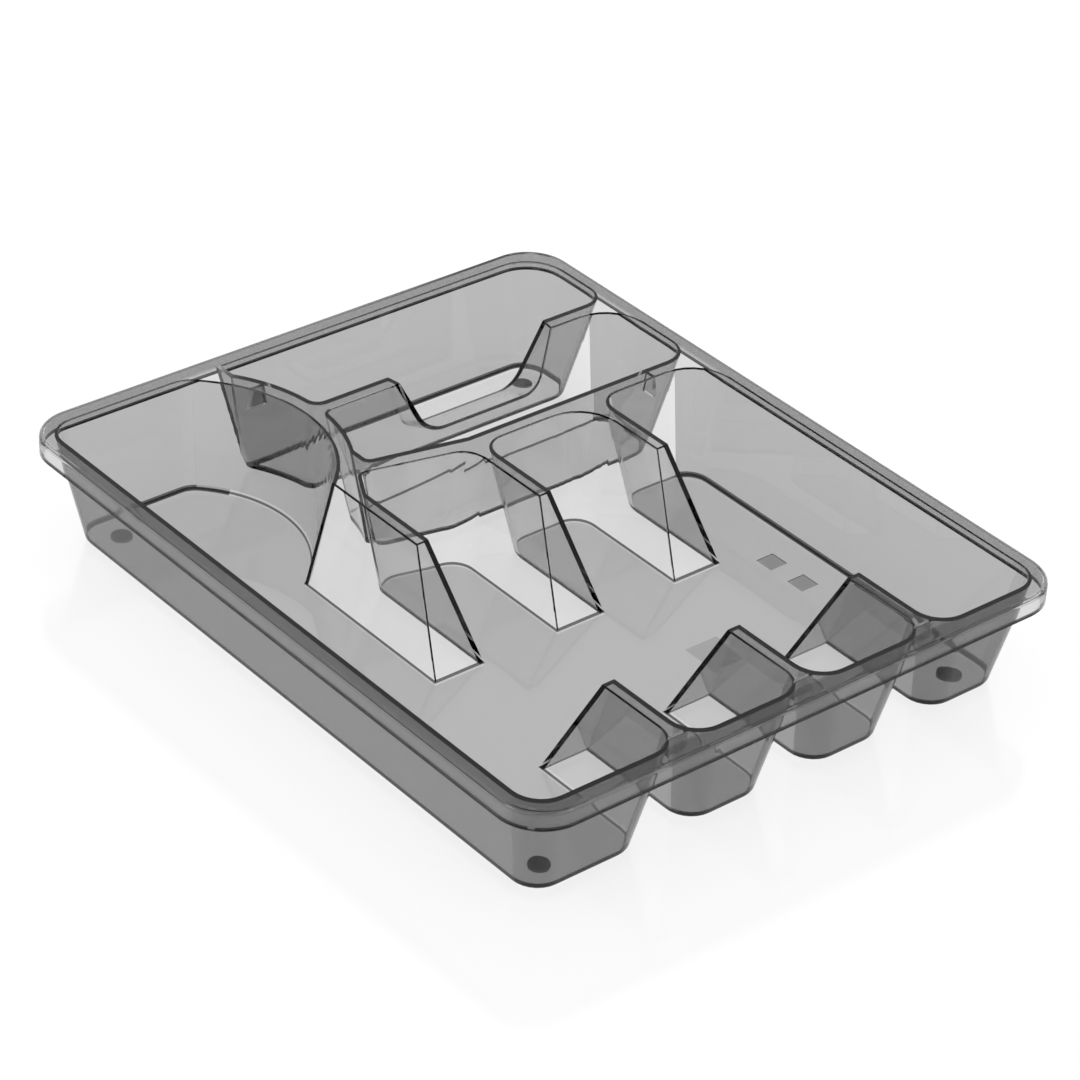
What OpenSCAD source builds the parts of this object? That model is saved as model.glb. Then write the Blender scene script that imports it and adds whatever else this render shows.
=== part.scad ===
// Cutlery tray: one thin moulding whose hollow dividers and tapered tubs hang from a flat rim,
// standing on four soft pads. Front is -Y, the pads stand on z = 0.

/* [Overall] */
// Length of the rim, front to back
tray_length = 330; // [315:1:360]
// Width of the rim, left to right
tray_width = 270; // [255:1:300]
// Height of the moulding, without its pads
tray_height = 49.2; // [42:0.2:56]
// Thickness of every wall
wall = 1.7; // [1.2:0.1:2.2]
// Taper of the walls, in degrees
draft = 11; // [6:0.5:12]

/* [Rim] */
// Width of the lip along the two long sides
side_lip = 7.2; // [5:0.1:9]
// Width of the lip along the front and the rear
end_lip = 8.1; // [5:0.1:10]
// Depth of the skirt below the lip
skirt_depth = 8.8; // [6:0.2:12]
// Corner radius of the rim in plan
rim_corner_r = 20; // [16:1:26]
// Rounding of the rim's outer edge
rim_edge_r = 2.2; // [1.8:0.1:3]

/* [Compartments] */
// Width of the left compartment in front
handle_width = 68.6; // [60:0.2:76]
// Width of the left compartment behind
neck_width = 70.2; // [62:0.2:76]
// Length of the compartment across the rear
rear_length = 47.3; // [40:0.2:54]
// Length of the compartment in front of it
middle_length = 49.6; // [42:0.2:56]
// Corner radius of the compartments at the rim
corner_r = 12.5; // [10:0.5:15]
// Corner radius of the compartments on the rear right
far_corner_r = 18; // [12:0.5:22]
// Corner radius of the compartments between the ridges
ridge_corner_r = 10.5; // [8:0.5:13]
// Corner radius of the compartments at the floor
floor_corner_r = 10; // [6:0.5:12]
// Left ends of the rear compartment and of the one in front of it, from the left wall
cross_left_in = [86.5, 91.8]; // [84:0.5:94]
// Small corner radius at the left ends of the compartments beside the curved ridge
small_corner_r = 3; // [2:0.5:5]
// How far the left and right corners of that compartment stand in front of the ridge
second_back = [4, 0.6]; // [0.4:0.2:6]
// Rounding where walls and floor meet, on the outside
bottom_r = 1.8; // [1.2:0.1:3]
// Rounding where walls and floor meet, on the inside
crease_r = 0.5; // [0.3:0.1:0.8]
// Corner radius beside the curved ridge, rear compartment
rear_nook_r = 5.5; // [4:0.5:9]
// Corner radius beside the curved ridge, compartment in front of it
middle_nook_r = 4; // [3:0.5:6]

/* [Round head] */
// Centre of the round head, from the left edge of the compartment
head_in = 29.8; // [26:0.2:34]
// Centre of the round head, from its rear edge
head_back = 50.9; // [47:0.2:55]
// Radius of the round head at the rim
head_r = 63.2; // [60:0.2:65]
// Width of the curved ridge round the head, at its top
arc_ridge = 7.5; // [6:0.1:9]

/* [Dividers] */
// Width of the dividers at their top
divider_top = 5.9; // [4:0.1:8]
// Width of the cross ridges at their top
ridge_top = 6.6; // [5:0.1:8]
// Length of the front dividers along their top
front_divider_length = 44.4; // [36:0.2:52]
// Length of the rear dividers along their top
rear_divider_length = 44; // [36:0.2:50]
// Lean of the front dividers' ends, in degrees
front_end_lean = 25; // [15:1:30]
// Lean of the rear dividers' ends, in degrees
rear_end_lean = 29; // [15:1:32]
// How far the front cross ridge bends back at its left end
ridge_bend = 10.6; // [6:0.2:13]

/* [Saddle] */
// Height of the saddle's middle above the underside of the floor
saddle_height = 20.8; // [15:0.2:25]
// Slope of the saddle towards the rear, in degrees
saddle_tilt = 21; // [0:1:25]
// Length of the rear ridge left of the saddle, from the curved ridge
saddle_left = 38; // [32:0.5:44]
// Length of the rear ridge right of the saddle, from the right wall
saddle_right = 35; // [28:0.5:40]
// Lean of the saddle's left and right ends, in degrees
saddle_lean = [25, 20]; // [10:1:35]
// Rounding at the foot of the left and right ends
saddle_r = [14, 10]; // [6:0.5:20]

/* [Details] */
// Depth of the small webs inside the hollow ridges
web_depth = 10; // [6:0.5:14]
// Place of the web in the curved ridge, behind the centre of the round head
arc_web_back = 29.5; // [24:0.5:34]
// Place of the web in the front cross ridge, from the right wall
ridge_web_in = 25; // [20:0.5:32]
// Place of the webs in the front dividers, from the front wall
divider_web_in = 5; // [3:0.5:8]
// Diameter of the pads
pad_d = 9; // [7:0.5:12]
// Thickness of the pads
pad_thickness = 1.3; // [1:0.1:1.6]
// How deep the pads sit in the floor
pad_seat = 0.5; // [0.3:0.1:0.7]
// Centres of the pads, from the edge of the floor
pad_inset = [13.5, 12.5]; // [11:0.5:16]
// Side of the two square marks on the floor
mark_size = 9; // [6:0.5:12]
// Depth of the marks
mark_depth = 0.3; // [0.2:0.1:0.5]
// Distance between the centres of the marks
mark_pitch = 19; // [14:0.5:24]
// Centre of the pair of marks, from the right edge of the floor and from the tray's middle
mark_place = [19, 45]; // [15:0.5:60]

/* [Hidden] */
smoke = [0.42, 0.43, 0.43, 0.55];
pad_grey = [0.12, 0.13, 0.12];
// How far a cut runs past the solid, and how far a web runs into the walls beside it
over = 2;
web_bite = 1.5;
// Steps in the roundings: corners, rim corners, round head, and whole circles
corner_steps = 7;
rim_steps = 12;
arc_steps = 32;
arc_fn = 120;
round_fn = 48;
// Directions in which the bottom edges and the rim's edge are stepped, in degrees
bottom_turn = [90 - draft, 45, 0];
edge_turn = [0, 30, 60, 90];
least_r = 0.2;
q = tan(draft);
base_z = pad_thickness - pad_seat;
floor_z = base_z + wall;
rim_z = base_z + tray_height;
taper = q * (rim_z - floor_z);

// The compartments' mouths at the rim
x_left = side_lip - tray_width / 2;
x_right = -x_left;
y_front = end_lip - tray_length / 2;
y_rear = -y_front;
handle_pitch = (x_right - x_left - handle_width - 3 * divider_top) / 3;
neck_pitch = (x_right - x_left - neck_width - 3 * divider_top) / 3;
y_rear_ridge = y_rear - rear_length;
y_middle_rear = y_rear_ridge - ridge_top;
y_middle_front = y_middle_rear - middle_length;
y_ridge = y_middle_front - ridge_top;
y_front_end = y_front + front_divider_length;
y_rear_end = y_ridge - rear_divider_length;
head_x = x_left + head_in;
head_y = y_rear - head_back;
arc_r = head_r + arc_ridge;
arc_right = head_x + arc_r;
// The tubs run past one another inside the open middle, by this share of its length
overlap_share = 0.36;
overlap = overlap_share * (y_rear_end - y_front_end);
y_open_front = y_front_end + overlap;
y_open_rear = y_rear_end - overlap;
// The neck runs this far towards the centre of the round head, whose arc begins in this direction
neck_gap = 26;
head_start = -62;
y_neck = head_y - neck_gap;
// The front cross ridge straightens this far left of the third compartment
bend_in = 2;
bend_x = x_left + neck_width + 2 * divider_top + neck_pitch - bend_in;
bend_left = head_x + sqrt(pow(arc_r, 2) - pow(head_y - y_middle_front - ridge_bend, 2));
bend_slope = ridge_bend / (bend_x - bend_left);
// The second compartment's rear edge turns forward this far left of the bend's left end
stub_in = 2.4;
cross_left = [for (d = cross_left_in) x_left + d];
// How far the column that fills a rounded corner reaches past it, and how little it stands off it
nook_reach = 2.4;
nook_bite = 0.03;
saddle_x = [arc_right + saddle_left, x_right - saddle_right];
saddle_z = base_z + saddle_height;

// Left edge and right edge of front compartment i, counted from the left
function front_x(i) = i == 0 ? [x_left, x_left + handle_width]
    : let (x = x_left + handle_width + divider_top + (i - 1) * (handle_pitch + divider_top))
      [x, x + handle_pitch];
function rear_x(i) = i == 0 ? [x_left, x_left + neck_width]
    : let (x = x_left + neck_width + divider_top + (i - 1) * (neck_pitch + divider_top))
      [x, x + neck_pitch];

// Inward unit normal of the edge from a to b, with the outline counter-clockwise
function inward(a, b) = let (d = [b.x - a.x, b.y - a.y]) [-d.y, d.x] / norm(d);
// Corner p moved so that it lies w1 inside the edge before it and w2 inside the edge after it
function inset_corner(before, p, after, w1, w2) =
    let (m = inward(before, p), n = inward(p, after), det = m.x * n.y - m.y * n.x)
    [p.x + (w1 * n.y - w2 * m.y) / det, p.y + (m.x * w2 - n.x * w1) / det];
// Points of an arc about c, at height z
function arc(c, r, start, end, steps, z) =
    [for (k = [0 : steps])
        let (a = start + (end - start) * k / steps) [c.x + r * cos(a), c.y + r * sin(a), z]];
// Direction in which the outward side of the edge from a to b faces
function facing(a, b) = atan2(a.x - b.x, b.y - a.y);

// Inset of a wall with a slope at height z, when its thickness is added outside
function wall_inset(slope, z, grow) = slope * (rim_z - z) - grow * sqrt(1 + slope * slope);
// How far the rounding of the bottom edge draws the wall in, a degrees round from the bottom
function rounding(r, a) = r * (sqrt(1 + q * q) - sin(a) - q * cos(a));
// Plan radius of a corner at height z
function plan_r(mouth_r, z, grow) =
    mouth_r + (floor_corner_r - mouth_r) * (rim_z - z) / (rim_z - floor_z) + grow;

// Level ring of a tub at height z, drawn in by e. points are [x, y, radius at the rim], slopes
// one per edge, where an edge with slope 0 is an open end and a corner with radius 0 is sharp.
function ring(points, slopes, z, e, grow) =
    let (count = len(points), w = [for (s = slopes) wall_inset(s, z, grow) + (s > 0 ? e : 0)])
    [for (i = [0 : count - 1])
        let (j = (i + count - 1) % count, k = (i + 1) % count,
             r = points[i][2] > 0 ? max(plan_r(points[i][2], z, grow) - e, least_r) : 0,
             c = inset_corner(points[j], points[i], points[k], w[j] + r, w[i] + r),
             start = facing(points[j], points[i]),
             turn = (facing(points[i], points[k]) - start + 360) % 360)
        each r > 0 ? arc(c, r, start, start + turn, corner_steps, z) : [[c.x, c.y, z]]];

// Convex solid through a list of points
module skin(points) {
    hull()
        polyhedron(points = points, faces = [for (i = [1 : len(points) - 2]) [0, i, i + 1]]);
}

// Top of a tub: with grow = 0 it is the hollow itself, and with grow = wall it is the outside of
// the wall round that hollow, which ends inside the rim
function mouth_z(grow) = grow > 0 ? rim_z - wall / 2 : rim_z + over;
// Heights and draw-in of the rings of every tub, from its mouth down
function levels(grow) =
    let (r = grow > 0 ? bottom_r : crease_r)
    [[mouth_z(grow), 0],
     for (a = bottom_turn) [floor_z - grow + r * (1 - cos(a)), rounding(r, a)]];

// A tapered tub with rounded corners and a rounded bottom edge
module tub(points, slopes, grow = 0) {
    skin([for (l = levels(grow)) each ring(points, slopes, l[0], l[1], grow)]);
}

function box_points(x, y, r) =
    [[x[0], y[0], r[0]], [x[1], y[0], r[1]], [x[1], y[1], r[2]], [x[0], y[1], r[3]]];

// Cone round the head's axis whose radius is r at the rim and grows downward with the draft
module head_cone(r) {
    z = [base_z - over, rim_z + over];
    translate([head_x, head_y, z[0]])
        cylinder(h = z[1] - z[0], r1 = r + q * (rim_z - z[0]), r2 = r - q * over, $fn = arc_fn);
}

// Level ring of the round head: its circle, cut straight by the left and rear walls
function head_ring(z, e, grow) =
    let (w = wall_inset(q, z, grow) + e, big = head_r - w, r = plan_r(corner_r, z, grow) - e,
         blend = [head_x + sqrt(pow(big - r, 2) - pow(head_back - w - r, 2)), y_rear - w - r],
         meet = atan2(blend.y - head_y, blend.x - head_x))
    concat([[x_left + w, y_neck, z]], arc([head_x, head_y], big, head_start, meet, arc_steps, z),
           arc(blend, r, meet, 90, corner_steps, z),
           arc([x_left + w + r, y_rear - w - r], r, 90, 180, corner_steps, z));

// The round head of the left compartment
module head(grow = 0) {
    skin([for (l = levels(grow)) each head_ring(l[0], l[1], grow)]);
}

// Compartments in front, between the front wall and the open middle
module front_tubs(grow = 0) {
    for (i = [0 : 3])
        tub(box_points(front_x(i), [y_front, y_open_front], [corner_r, corner_r, 0, 0]),
            [q, q, 0, q], grow);
}

// The open middle, whose front and rear walls are the leaning ends of the dividers
module middle_band(grow = 0) {
    tub(box_points([x_left, x_right], [y_front_end, y_rear_end], [0, 0, 0, 0]),
        [tan(front_end_lean), q, tan(rear_end_lean), q], grow);
}

// Compartments behind the open middle
module rear_tubs(grow = 0) {
    x = rear_x(1);
    second = [[x[0], y_open_rear, 0], [x[1], y_open_rear, 0],
              [x[1], y_ridge - second_back[1], ridge_corner_r],
              [bend_left - stub_in, y_ridge + ridge_bend, small_corner_r],
              [x[0], y_ridge - second_back[0], small_corner_r]];
    tub(box_points(rear_x(0), [y_open_rear, y_neck], [0, 0, 0, 0]), [0, q, 0, q], grow);
    tub(second, [0, q, q, q, q], grow);
    for (i = [2 : 3])
        tub(box_points(rear_x(i), [y_open_rear, y_ridge], [0, 0, far_corner_r, ridge_corner_r]),
            [0, q, q, q], grow);
}

// Centre of a rounding between the curved ridge and a straight wall, at height z. The wall's
// mouth runs through p and its face looks along n.
function nook_centre(p, n, r, z) =
    let (a = n * (p - [head_x, head_y]) + wall_inset(q, z, 0) + r,
         b = sqrt(pow(arc_r + q * (rim_z - z) + r, 2) - a * a))
    [head_x, head_y] + a * n + b * sign(n.y) * [n.y, -n.x];

// The three-sided column that fills such a corner: two corners where the walls leave the
// rounding, and one beyond the place where they would meet
function nook_column(p, n, r, grow, z) =
    let (c = nook_centre(p, n, r, z), away = c - [head_x, head_y], near = r + grow * sqrt(1 + q * q),
         on_wall = c - n * near, on_arc = c - away / norm(away) * near)
    [for (t = [on_wall, on_arc, c + nook_reach * (on_wall + on_arc - 2 * c)]) [t.x, t.y, z]];

// What is taken off a compartment to round its corner beside the curved ridge
module nook(p, n, r, grow) {
    z = [base_z - over, rim_z + over];
    round_r = r + grow * sqrt(1 + q * q) + nook_bite;
    difference() {
        skin([for (h = z) each nook_column(p, n, r, grow, h)]);
        skin([for (h = [z[0] - over, z[1] + over])
            each arc(nook_centre(p, n, r, h), round_r, 0, 360, round_fn, h)]);
    }
}

// The two compartments across the rear, cut back by the curved ridge
module cross_tubs(grow = 0) {
    arc_wall_r = arc_r - grow * sqrt(1 + q * q);
    rear = box_points([cross_left[0], x_right], [y_rear_ridge, y_rear],
                      [0, ridge_corner_r, far_corner_r, 0]);
    bend_y = y_middle_front + (bend_x - cross_left[1]) * bend_slope;
    middle = [[cross_left[1], bend_y, small_corner_r], [bend_x, y_middle_front, 0],
              [x_right, y_middle_front, corner_r], [x_right, y_middle_rear, far_corner_r],
              [cross_left[1], y_middle_rear, 0]];
    difference() {
        tub(rear, [q, q, q, q], grow);
        head_cone(arc_wall_r);
        nook([head_x, y_rear_ridge], [0, 1], rear_nook_r, grow);
    }
    difference() {
        tub(middle, [q, q, q, q, q], grow);
        head_cone(arc_wall_r);
        nook([head_x, y_middle_rear], [0, -1], middle_nook_r, grow);
    }
}

// Profile of the saddle cut into the rear ridge, seen from the front
module saddle_profile(grow, top) {
    drop = rim_z - saddle_z;
    foot = [saddle_x[0] + drop * tan(saddle_lean[0]), saddle_x[1] - drop * tan(saddle_lean[1])];
    offset(delta = grow) hull() {
        translate([foot[0] + saddle_r[0] * tan(45 - saddle_lean[0] / 2), saddle_z + saddle_r[0]])
            circle(r = saddle_r[0], $fn = round_fn);
        translate([foot[1] - saddle_r[1] * tan(45 - saddle_lean[1] / 2), saddle_z + saddle_r[1]])
            circle(r = saddle_r[1], $fn = round_fn);
        polygon([[saddle_x[0] - (top - rim_z) * tan(saddle_lean[0]), top],
                 [saddle_x[1] + (top - rim_z) * tan(saddle_lean[1]), top],
                 [(foot[0] + foot[1]) / 2, saddle_z]]);
    }
}

// The saddle runs across the rear ridge and slopes down to the rear
module saddle(grow = 0) {
    half = ridge_top / 2 + taper;
    slope = tan(saddle_tilt);
    intersection() {
        translate([0, y_rear_ridge - ridge_top / 2, 0])
            multmatrix([[1, 0, 0, 0], [0, 1, 0, 0], [0, -slope, 1, 0], [0, 0, 0, 1]])
                rotate([90, 0, 0])
                    linear_extrude(height = 2 * half, center = true)
                        saddle_profile(grow, rim_z + over + slope * half);
        translate([-tray_width / 2, 0, 0])
            cube([tray_width, tray_length, mouth_z(grow)]);
    }
}

// Everything that is hollow inside the tray, or with grow = wall the outside of its walls
module tubs(grow = 0) {
    front_tubs(grow);
    middle_band(grow);
    rear_tubs(grow);
    head(grow);
    cross_tubs(grow);
    saddle(grow);
}

// Level ring of the rim at height z, drawn in by inset
function rim_ring(z, inset) =
    let (x = tray_width / 2 - rim_corner_r, y = tray_length / 2 - rim_corner_r, r = rim_corner_r - inset)
    concat(arc([x, y], r, 0, 90, rim_steps, z), arc([-x, y], r, 90, 180, rim_steps, z),
           arc([-x, -y], r, 180, 270, rim_steps, z), arc([x, -y], r, 270, 360, rim_steps, z));

// The flat top with its rounded edge and hanging skirt
module rim() {
    skirt_z = rim_z - skirt_depth;
    difference() {
        skin([each rim_ring(skirt_z, 0), for (a = edge_turn)
              each rim_ring(rim_z - rim_edge_r * (1 - sin(a)), rim_edge_r * (1 - cos(a)))]);
        skin([each rim_ring(skirt_z - over, wall), each rim_ring(rim_z - rim_edge_r, wall),
              each rim_ring(rim_z - wall, rim_edge_r)]);
    }
}

// Extent of a web from one wall to the next, and across its own thickness
function across(a, b) = [a - web_bite, b + web_bite];
function plate(middle) = [middle - wall / 2, middle + wall / 2];

// One web below the top of a ridge, between the given extents
module web(x, y) {
    translate([x[0], y[0], rim_z - web_depth])
        cube([x[1] - x[0], y[1] - y[0], web_depth - wall / 2]);
}

// Small upright webs that stiffen the hollow ridges, each as thick as the walls
module webs() {
    arc_x = [for (r = [head_r, arc_r]) head_x + sqrt(r * r - arc_web_back * arc_web_back)];
    web(across(arc_x[0], arc_x[1]), plate(head_y + arc_web_back));
    web(plate(x_right - ridge_web_in), across(y_ridge, y_ridge + ridge_top));
    for (i = [1 : 3])
        web(across(front_x(i)[0] - divider_top, front_x(i)[0]), plate(y_front + divider_web_in));
}

// Square marks on the floor of the right compartment
module marks() {
    x = x_right - taper - mark_place[0];
    for (end = [-1, 1])
        translate([x, end * mark_pitch / 2 - mark_place[1], floor_z - mark_depth + over / 2])
            cube([mark_size, mark_size, over], center = true);
}

// Centre of the pad below one corner of the floor
function pad_place(side, end) =
    [side * (x_right - taper - pad_inset[0]), end * (y_rear - taper - pad_inset[1]), 0];

// One pad, also the recess it sits in
module pad(side, end) {
    translate(pad_place(side, end))
        cylinder(h = pad_thickness, d = pad_d, $fn = round_fn);
}

module tray() {
    color(smoke) difference() {
        union() {
            rim();
            tubs(wall);
            webs();
        }
        tubs();
        marks();
        for (side = [-1, 1], end = [-1, 1])
            pad(side, end);
    }
}

module foot_front_left() {
    color(pad_grey) pad(-1, -1);
}

module foot_front_right() {
    color(pad_grey) pad(1, -1);
}

module foot_rear_left() {
    color(pad_grey) pad(-1, 1);
}

module foot_rear_right() {
    color(pad_grey) pad(1, 1);
}

tray();
foot_front_left();
foot_front_right();
foot_rear_left();
foot_rear_right();
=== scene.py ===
import math

import bmesh
import bpy
from mathutils import Euler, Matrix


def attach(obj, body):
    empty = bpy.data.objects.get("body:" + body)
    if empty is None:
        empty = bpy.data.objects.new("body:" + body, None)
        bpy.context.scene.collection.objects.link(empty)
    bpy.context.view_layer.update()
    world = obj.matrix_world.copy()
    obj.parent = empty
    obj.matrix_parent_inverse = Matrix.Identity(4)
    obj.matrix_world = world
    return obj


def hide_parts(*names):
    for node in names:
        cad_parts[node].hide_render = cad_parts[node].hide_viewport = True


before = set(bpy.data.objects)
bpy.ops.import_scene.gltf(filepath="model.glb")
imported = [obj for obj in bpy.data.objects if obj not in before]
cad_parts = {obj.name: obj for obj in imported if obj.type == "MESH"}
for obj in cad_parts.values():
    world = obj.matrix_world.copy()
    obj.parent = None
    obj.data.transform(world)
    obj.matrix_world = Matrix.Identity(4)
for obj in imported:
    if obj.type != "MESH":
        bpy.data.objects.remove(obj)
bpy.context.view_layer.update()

# ---------------------------------------------------------------- values
# Lengths are in metres.
BOUNCES = 24
GLOSSY_BOUNCES = 6

# Smoke plastic
ABSORPTION = 110  # per metre of plastic
PLASTIC_IOR = 1.3
PLASTIC_SPECULAR = 0.06
HAZE_SCALE = 28
HAZE_DETAIL = 3
HAZE_ROUGHNESS = 0.03

# How much light each part of the moulding is painted to let through, beside what its volume takes: the
# plastic is one smoke colour all over, so the darker parts and dark bands are painted shade, and only
# the marks are darker by their own colour
PAINTED_SHADE_AND_TINT = {
    "wall": 1.0,         # dividers and inner sides of the tubs
    "front_wall": 0.8,   # the three front dividers, painted darker as shade
    "head_wall": 0.58,   # the ridge that curves round the head, painted darker as shade
    "outer": 0.34,       # outer sides of the tubs, painted darker as shade
    "base_edge": 0.02,   # painted shade: dark band at the foot of the outer sides
    # floor: painted shade, darker than the cross compartments' floors
    "floor": 0.66,
    "cross_floor": 1.0,  # floors of the two cross compartments
    "mark": 0.2,         # floors of the two shallow marks
    "patch": 0.4,        # the third, faint mark
    "crease": 0.04,      # painted shade: dark band where walls meet the floor
    "mouth": 0.12,       # painted shade: dark band round the mouths of the tubs
    # lip: painted shade, darker than the crests and skirt
    "lip": 0.5,
    "crest": 0.9,        # tops of the dividers
    "round": 0.6,        # rounded outer edge of the rim, painted darker as shade
    "skirt": 0.9,
    "skirt_edge": 0.02,  # painted shade: dark band along the skirt's lower edge
}

# Pads
GRAIN_SCALE = 900
GRAIN_DETAIL = 4
GRAIN_STRENGTH = 0.25
GRAIN_DEPTH = 0.0001
PAD_DARK = (0.012, 0.012, 0.013, 1)
PAD_PALE = (0.035, 0.035, 0.037, 1)
PAD_RAMP = (0.35, 0.7)
PAD_ROUGHNESS = (0.6, 0.85)

# The tray, as in the CAD
DRAFT = math.radians(11)
WALL = 0.0017
SLANT_WALL = WALL / math.cos(DRAFT)
FLOOR_UNDER = 0.0008
FLOOR_TOP = 0.0025
MARK_DEPTH = 0.0003
RIM_TOP = 0.05
SKIRT_BOTTOM = RIM_TOP - 0.0088
EDGE_R = 0.0022
MOUTH_X = 0.1278
MOUTH_Y = 0.1569
CORNER_R = 0.0125
HEAD_AT = (-0.098, 0.106)
HEAD_R = 0.0632  # the head's mouth
ARC_R = 0.0707   # the rear side of the curved ridge, at the rim

# Bands and borders between the painted shades
CREASE_TOP = FLOOR_TOP + 0.0009
BASE_EDGE_TOP = 0.003
MOUTH_BAND = 0.0005
SKIRT_BAND = 0.0009
PATCH_X = (0.0285, 0.045)
PATCH_Y = (-0.081, -0.063)
CROSS_X = -0.05        # the cross compartments lie right of this
CROSS_Y = 0.03         # and behind this
FRONT_Y = -0.105       # the front dividers lie in front of this
OUTER_X = 0.105        # outer sides lie beyond these
OUTER_Y = 0.135
OUTER_LEAN = 0.2       # least outward part of an outer side's normal

# When faces count as level or upright, by their normal's z
LEVEL = 0.99
UPRIGHT = 0.1
STEEP = 0.5

# Tolerances
NEAR = 0.0001
NEAR_CONE = 0.00006
NEAR_LEVEL = 1e-6
WELD = 2e-6
CUT_SNAP = 1e-7

# Shading of the visual copy
FLAT = math.radians(0.2)       # faces that turn less become one
FLAT_TURN = math.radians(1)    # broad faces that turn less stay smooth
SHARP_TURN = math.radians(25)
FACET = 0.0052                 # faces narrower than this belong to a curve
RIDGE_CUTS = 3
SHORTEST_CUT = 0.001
ABOVE_FLOOR = 0.0002

# Ground, light and camera
GROUND_RADIUS = 12
GROUND_SIDES = 96
GROUND_Z = -0.0002
GROUND_GLOW = 0.79
GROUND_DIFFUSE = 0.18
GROUND_SPECULAR = 0.5
GROUND_ROUGHNESS = 0.12
SKY = 1.0
CAMERA_AT = (-0.895843, -1.039221, 0.924716)
CAMERA_TURN = (56.9272, -2.8031, -39.3714)

scene = bpy.context.scene
scene.view_settings.view_transform = "Standard"
scene.cycles.max_bounces = BOUNCES
scene.cycles.transmission_bounces = BOUNCES
scene.cycles.transparent_max_bounces = BOUNCES
scene.cycles.glossy_bounces = GLOSSY_BOUNCES


# ---------------------------------------------------------------- materials
def new_material(name):
    """A material with an output and a Principled shader on it"""
    mat = bpy.data.materials.new(name)
    mat.use_nodes = True
    nodes, links = mat.node_tree.nodes, mat.node_tree.links
    nodes.clear()
    out = nodes.new("ShaderNodeOutputMaterial")
    body = nodes.new("ShaderNodeBsdfPrincipled")
    links.new(body.outputs["BSDF"], out.inputs["Surface"])
    return mat, nodes, links, out, body


def noise(nodes, links, scale, detail):
    where = nodes.new("ShaderNodeTexCoord")
    node = nodes.new("ShaderNodeTexNoise")
    node.inputs["Scale"].default_value = scale
    node.inputs["Detail"].default_value = detail
    links.new(where.outputs["Object"], node.inputs["Vector"])
    return node


def vary_roughness(nodes, links, body, cloud, low, high):
    rough = nodes.new("ShaderNodeMapRange")
    rough.inputs["To Min"].default_value = low
    rough.inputs["To Max"].default_value = high
    links.new(cloud.outputs["Fac"], rough.inputs["Value"])
    links.new(rough.outputs["Result"], body.inputs["Roughness"])


def smoke_plastic():
    """Clear plastic: its volume takes light, and each face's painted shade takes some more (for the
    marks, their own darker colour)
    """
    mat, nodes, links, out, body = new_material("smoke_plastic")
    # Base colour: each face's painted shade, or a mark's own darker colour
    painted_shade_and_tint = nodes.new("ShaderNodeAttribute")
    painted_shade_and_tint.attribute_name = "painted_shade_and_tint"
    links.new(painted_shade_and_tint.outputs["Color"], body.inputs["Base Color"])
    body.inputs["Transmission Weight"].default_value = 1.0
    body.inputs["IOR"].default_value = PLASTIC_IOR
    body.inputs["Specular IOR Level"].default_value = PLASTIC_SPECULAR
    haze = noise(nodes, links, HAZE_SCALE, HAZE_DETAIL)
    vary_roughness(nodes, links, body, haze, 0.0, HAZE_ROUGHNESS)
    smoke = nodes.new("ShaderNodeVolumeAbsorption")
    smoke.inputs["Color"].default_value = (0.0, 0.0, 0.0, 1)
    smoke.inputs["Density"].default_value = ABSORPTION
    links.new(smoke.outputs["Volume"], out.inputs["Volume"])
    return mat


def pad_rubber():
    """Matte dark rubber with a fine grain"""
    mat, nodes, links, out, body = new_material("pad_rubber")
    grain = noise(nodes, links, GRAIN_SCALE, GRAIN_DETAIL)
    tone = nodes.new("ShaderNodeValToRGB")
    for stop, at, colour in zip(tone.color_ramp.elements, PAD_RAMP, (PAD_DARK, PAD_PALE)):
        stop.position = at
        stop.color = colour
    links.new(grain.outputs["Fac"], tone.inputs["Fac"])
    links.new(tone.outputs["Color"], body.inputs["Base Color"])
    vary_roughness(nodes, links, body, grain, *PAD_ROUGHNESS)
    skin = nodes.new("ShaderNodeBump")
    skin.inputs["Strength"].default_value = GRAIN_STRENGTH
    skin.inputs["Distance"].default_value = GRAIN_DEPTH
    links.new(grain.outputs["Fac"], skin.inputs["Height"])
    links.new(skin.outputs["Normal"], body.inputs["Normal"])
    return mat


def pale_ground():
    """A pale, glossy ground that is lit a little by itself"""
    mat, nodes, links, out, body = new_material("pale_floor")
    body.inputs["Base Color"].default_value = (GROUND_DIFFUSE, GROUND_DIFFUSE, GROUND_DIFFUSE, 1)
    body.inputs["Roughness"].default_value = GROUND_ROUGHNESS
    body.inputs["Specular IOR Level"].default_value = GROUND_SPECULAR
    body.inputs["Emission Color"].default_value = (1, 1, 1, 1)
    body.inputs["Emission Strength"].default_value = GROUND_GLOW
    mat.cycles.emission_sampling = "NONE"
    return mat


def set_material(obj, mat):
    obj.data.materials.clear()
    obj.data.materials.append(mat)


# ---------------------------------------------------------------- which part a face belongs to
def axis_distance(co, lean):
    """How far a point lies from the round head's axis, measured at the rim along the draft"""
    reach = math.hypot(co.x - HEAD_AT[0], co.y - HEAD_AT[1])
    return reach - lean * math.tan(DRAFT) * (RIM_TOP - co.z)


def on_cone(verts, lean, radius):
    return all(abs(axis_distance(v.co, lean) - radius) < NEAR_CONE for v in verts)


def is_plate(face):
    """Whether a face is level and at the height of the rim"""
    return abs(face.normal.z) > LEVEL and face.calc_center_median().z > RIM_TOP - 2 * WALL


def is_rim_side(c):
    """Whether a face's centre lies in the skirt or in the rim's rounded edge"""
    beyond = abs(c.x) > MOUTH_X + WALL or abs(c.y) > MOUTH_Y + WALL
    return beyond and c.z > SKIRT_BOTTOM - NEAR


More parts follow.
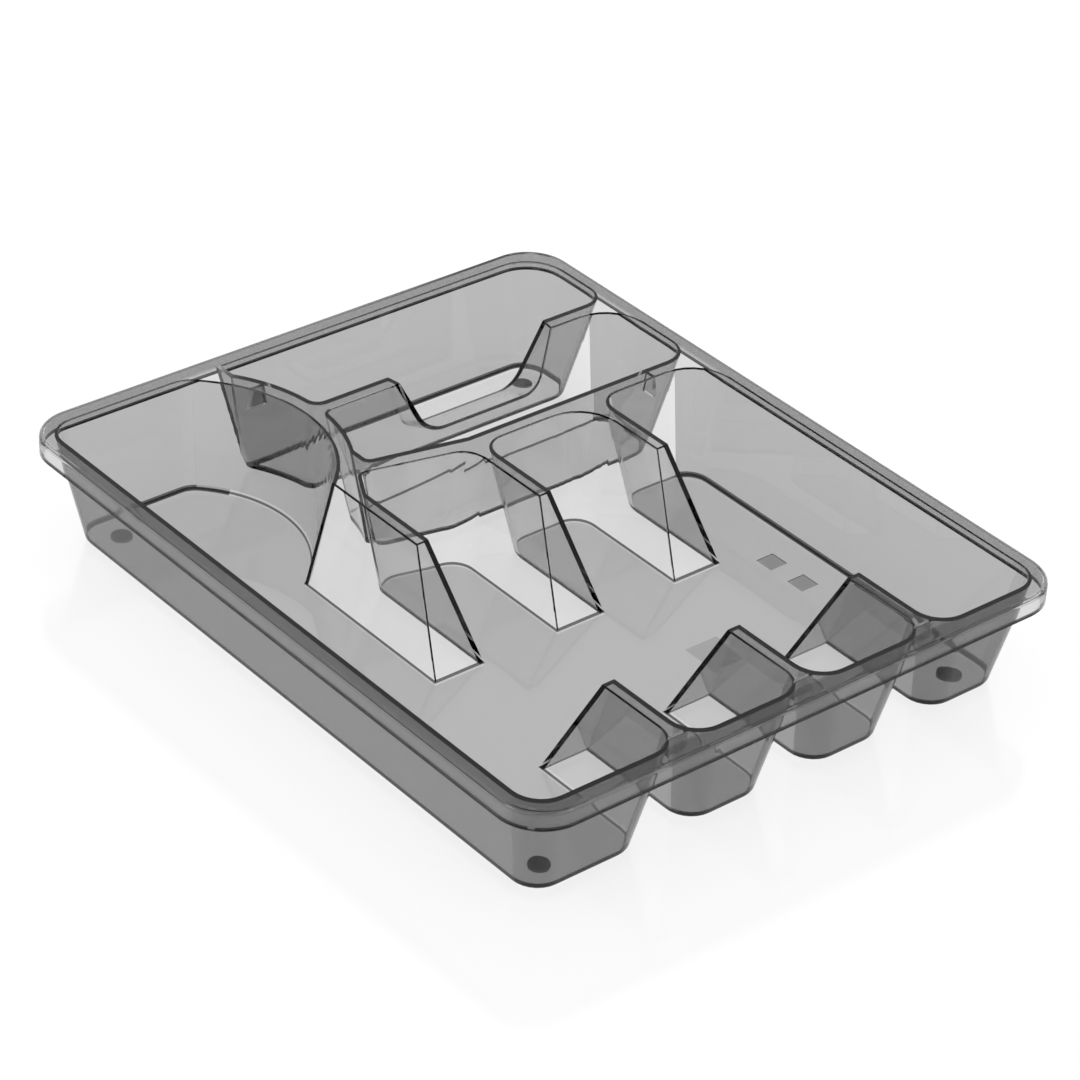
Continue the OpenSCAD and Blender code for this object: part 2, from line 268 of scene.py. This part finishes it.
def plate_part(c):
    x, y = abs(c.x), abs(c.y)
    beyond = x > MOUTH_X or y > MOUTH_Y
    corner = x > MOUTH_X - CORNER_R and y > MOUTH_Y - CORNER_R
    return "lip" if beyond or corner else "crest"


def rim_part(c):
    if c.z > RIM_TOP - EDGE_R:
        return "round"
    return "skirt_edge" if c.z < SKIRT_BOTTOM + SKIRT_BAND else "skirt"


def floor_part(face, c):
    inside_patch = PATCH_X[0] < c.x < PATCH_X[1] and PATCH_Y[0] < c.y < PATCH_Y[1]
    if face.normal.z > 0 and inside_patch:
        return "patch"
    behind = min(v.co.y for v in face.verts) > CROSS_Y
    return "cross_floor" if behind and c.x > CROSS_X else "floor"


def is_crease(n, c):
    """Whether a face is a fillet at the floor, or the upright side of a mark"""
    upright = c.z > FLOOR_TOP - MARK_DEPTH and abs(n.z) < UPRIGHT
    return c.z < CREASE_TOP and (UPRIGHT < n.z < LEVEL or upright)


def is_outer(n, c):
    out_x = abs(c.x) > OUTER_X and n.x * c.x > OUTER_LEAN * abs(c.x)
    out_y = abs(c.y) > OUTER_Y and n.y * c.y > OUTER_LEAN * abs(c.y)
    return (out_x or out_y) and n.z < UPRIGHT


# A face's part picks its painted shade, or for a mark its own darker colour
def part_of(face):
    """Which part of the moulding a face belongs to"""
    c = face.calc_center_median()
    n = face.normal
    if is_plate(face):
        return plate_part(c)
    if is_rim_side(c):
        return rim_part(c)
    if n.z > LEVEL and FLOOR_UNDER + MARK_DEPTH < c.z < FLOOR_TOP - MARK_DEPTH / 2:
        return "mark"
    if abs(n.z) > LEVEL and c.z < FLOOR_TOP + NEAR:
        return floor_part(face, c)
    if is_crease(n, c):
        return "crease"
    between = CREASE_TOP < c.z < RIM_TOP - MOUTH_BAND
    if between and any(on_cone(face.verts, -1, r) for r in (HEAD_R, HEAD_R + SLANT_WALL)):
        return "head_wall"
    if is_outer(n, c):
        return "base_edge" if c.z < BASE_EDGE_TOP else "outer"
    if between and c.y < FRONT_Y:
        return "front_wall"
    if n.z > UPRIGHT and RIM_TOP - MOUTH_BAND < c.z < RIM_TOP - NEAR:
        return "mouth"
    return "wall"


# ---------------------------------------------------------------- the tray
def cut(bm, faces, at, across):
    """Cuts faces along a plane"""
    faces = list(faces)
    edges = list(dict.fromkeys(e for f in faces for e in f.edges))
    verts = list(dict.fromkeys(v for f in faces for v in f.verts))
    bmesh.ops.bisect_plane(bm, geom=faces + edges + verts, plane_co=at, plane_no=across, dist=CUT_SNAP)


def cut_bands(bm):
    """Cuts the faces along the borders between the painted shades"""
    for z in (CREASE_TOP, RIM_TOP - MOUTH_BAND):
        cut(bm, bm.faces, (0, 0, z), (0, 0, 1))
    skirt = [f for f in bm.faces if abs(f.normal.z) < STEEP and is_rim_side(f.calc_center_median())]
    cut(bm, skirt, (0, 0, SKIRT_BOTTOM + SKIRT_BAND), (0, 0, 1))
    for x in (MOUTH_X, -MOUTH_X):
        cut(bm, [f for f in bm.faces if is_plate(f)], (x, 0, 0), (1, 0, 0))
    for y in (MOUTH_Y, -MOUTH_Y):
        cut(bm, [f for f in bm.faces if is_plate(f)], (0, y, 0), (0, 1, 0))
    sides = [((x, 0, 0), (1, 0, 0)) for x in PATCH_X] + [((0, y, 0), (0, 1, 0)) for y in PATCH_Y]
    for at, across in sides:
        floor = [f for f in bm.faces
                 if f.normal.z > LEVEL and abs(f.calc_center_median().z - FLOOR_TOP) < NEAR]
        cut(bm, floor, at, across)


def refine_curved_ridge(bm):
    """Cuts the flat facets of the curved ridge finer and puts the new points on the true cone"""
    skins = ((-1, HEAD_R), (-1, HEAD_R + SLANT_WALL), (1, ARC_R), (1, ARC_R - SLANT_WALL))
    for lean, radius in skins:
        edges = []
        for e in bm.edges:
            a, b = (v.co for v in e.verts)
            level = abs(a.z - b.z) < NEAR_LEVEL and a.z > FLOOR_TOP + ABOVE_FLOOR
            if level and on_cone(e.verts, lean, radius) and (a - b).length > SHORTEST_CUT:
                edges.append(e)
        new = bmesh.ops.subdivide_edges(bm, edges=edges, cuts=RIDGE_CUTS, use_grid_fill=True)
        for v in new["geom_inner"]:
            if isinstance(v, bmesh.types.BMVert):
                want = radius + lean * math.tan(DRAFT) * (RIM_TOP - v.co.z)
                x, y = v.co.x - HEAD_AT[0], v.co.y - HEAD_AT[1]
                k = want / math.hypot(x, y)
                v.co.x, v.co.y = HEAD_AT[0] + x * k, HEAD_AT[1] + y * k


def breadth(face):
    return face.calc_area() / max(e.calc_length() for e in face.edges)


def shade(bm):
    """Smooth along curves, sharp at corners and at the bends between broad faces"""
    bmesh.ops.recalc_face_normals(bm, faces=bm.faces)
    for f in bm.faces:
        f.smooth = True
        f.material_index = 0
    for e in bm.edges:
        turn = e.calc_face_angle(0)
        curve = turn < FLAT_TURN or min(breadth(f) for f in e.link_faces) < FACET
        e.smooth = turn < SHARP_TURN and curve


def tray_shell():
    """The tray's visual copy: the CAD's own mesh, cut along the borders of the painted shades and
    smoothed
    """
    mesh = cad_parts["tray"].data.copy()
    obj = bpy.data.objects.new("tray_shell", mesh)
    scene.collection.objects.link(obj)
    set_material(obj, smoke_plastic())
    bm = bmesh.new()
    bm.from_mesh(mesh)
    bmesh.ops.remove_doubles(bm, verts=bm.verts, dist=WELD)
    bmesh.ops.dissolve_limit(bm, angle_limit=FLAT, verts=bm.verts, edges=bm.edges,
                             delimit={"NORMAL"})
    cut_bands(bm)
    refine_curved_ridge(bm)
    shade(bm)
    # Each face gets its part's painted shade, or a mark's own darker colour
    painted_shades_and_tints = [PAINTED_SHADE_AND_TINT[part_of(f)] for f in bm.faces]
    bm.to_mesh(mesh)
    bm.free()
    colour = mesh.attributes.new("painted_shade_and_tint", "FLOAT_COLOR", "CORNER")
    for polygon, painted_shade_and_tint in zip(mesh.polygons, painted_shades_and_tints):
        for k in polygon.loop_indices:
            colour.data[k].color = (painted_shade_and_tint, painted_shade_and_tint, painted_shade_and_tint, 1)
    weighted = obj.modifiers.new("weighted_normals", "WEIGHTED_NORMAL")
    weighted.keep_sharp = True
    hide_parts("tray")
    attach(obj, "root")


tray_shell()
rubber = pad_rubber()
for name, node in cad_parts.items():
    if name.startswith("foot"):
        set_material(node, rubber)

# ---------------------------------------------------------------- ground, light, camera
bpy.ops.mesh.primitive_circle_add(vertices=GROUND_SIDES, radius=GROUND_RADIUS, fill_type="NGON",
                                  location=(0, 0, GROUND_Z))
floor = bpy.context.object
floor.name = "floor"
set_material(floor, pale_ground())

world = bpy.data.worlds.new("studio")
scene.world = world
world.cycles.sampling_method = "NONE"
world.use_nodes = True
world.node_tree.nodes["Background"].inputs["Color"].default_value = (1, 1, 1, 1)
world.node_tree.nodes["Background"].inputs["Strength"].default_value = SKY

camera = bpy.data.cameras.new("camera")
camera.lens = 136.4986
camera.sensor_width = 36
camera.shift_x = -0.01768
camera.shift_y = -0.00071
camera.clip_start = 0.05
camera.clip_end = 50
camera_object = bpy.data.objects.new("camera", camera)
camera_object.location = CAMERA_AT
camera_object.rotation_euler = Euler([math.radians(a) for a in CAMERA_TURN], "XYZ")
scene.collection.objects.link(camera_object)
scene.camera = camera_object
